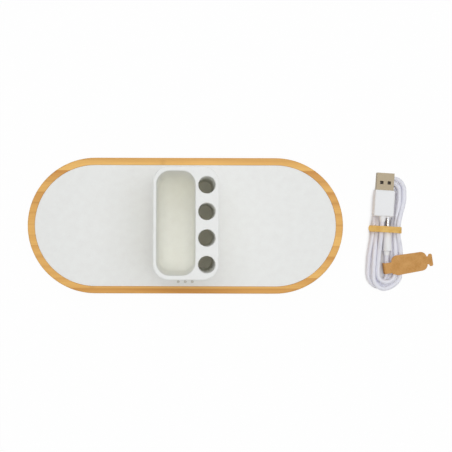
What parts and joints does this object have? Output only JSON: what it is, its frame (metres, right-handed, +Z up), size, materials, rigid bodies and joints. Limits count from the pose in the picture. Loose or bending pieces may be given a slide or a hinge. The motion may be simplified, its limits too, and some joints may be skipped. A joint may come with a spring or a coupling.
{
  "type": "charging station organizer",
  "caption": "Pill-shaped bamboo-framed desk charging base with a raised white organizer block that has a deep pocket and a row of pen wells, and a tied supply cable.",
  "frame": {"origin": "on the table under the middle of the base", "axes": "+X along the base towards the pen wells, +Y to the back with the supply port, +Z up"},
  "size_m": [0.2865, 0.095, 0.0837],
  "materials": {
    "bamboo": "oiled, fine sanded",
    "white_abs": "fine spark texture",
    "silicone_rubber": "matte",
    "zinc_plated_steel": "bright zinc",
    "circuit_laminate": "solder mask",
    "stainless_shell": "drawn",
    "black_plastic": "moulded",
    "capacitor_coating": "dipped",
    "clear_guide": "clear, polished",
    "copper_winding": "enamelled",
    "ferrite": "sintered",
    "white_tpe": "satin",
    "champagne_shell": "champagne plated",
    "kraft_paper": "uncoated"
  },
  "bodies": {
    "station": {"bamboo_ring": "bamboo", "top_plate": "white_abs", "bottom_cover": "white_abs", "organizer_block": "white_abs", "foot_front_left": "silicone_rubber", "foot_front_right": "silicone_rubber", "foot_back_left": "silicone_rubber", "foot_back_right": "silicone_rubber", "cover_screws": "zinc_plated_steel", "block_screws": "zinc_plated_steel", "board_screws": "zinc_plated_steel", "main_circuit_board": "circuit_laminate", "usb_c_socket_shell": "stainless_shell", "usb_c_socket_insulator": "black_plastic", "controller_chip": "black_plastic", "power_transistors": "black_plastic", "power_inductor": "black_plastic", "resonance_capacitors": "capacitor_coating", "indicator_leds": "clear_guide", "indicator_light_guide": "clear_guide", "charging_coil_left": "copper_winding", "charging_coil_right": "copper_winding", "ferrite_left": "ferrite", "ferrite_right": "ferrite", "coil_leads_left": "copper_winding", "coil_leads_right": "copper_winding"},
    "supply_cable": {"usb_a_overmold": "white_tpe", "usb_a_shell": "champagne_shell", "usb_a_insulator": "black_plastic", "usb_c_overmold": "white_tpe", "usb_c_plug_shell": "stainless_shell", "cable_hank": "white_tpe", "cable_tie": "kraft_paper", "cable_tag": "kraft_paper"}
  },
  "joints": [
    {"name": "supply_cable_lift", "type": "slide", "parent": "station", "child": "supply_cable", "axis": [0, 0, 1], "range_m": [0, 0.1]}
  ]
}
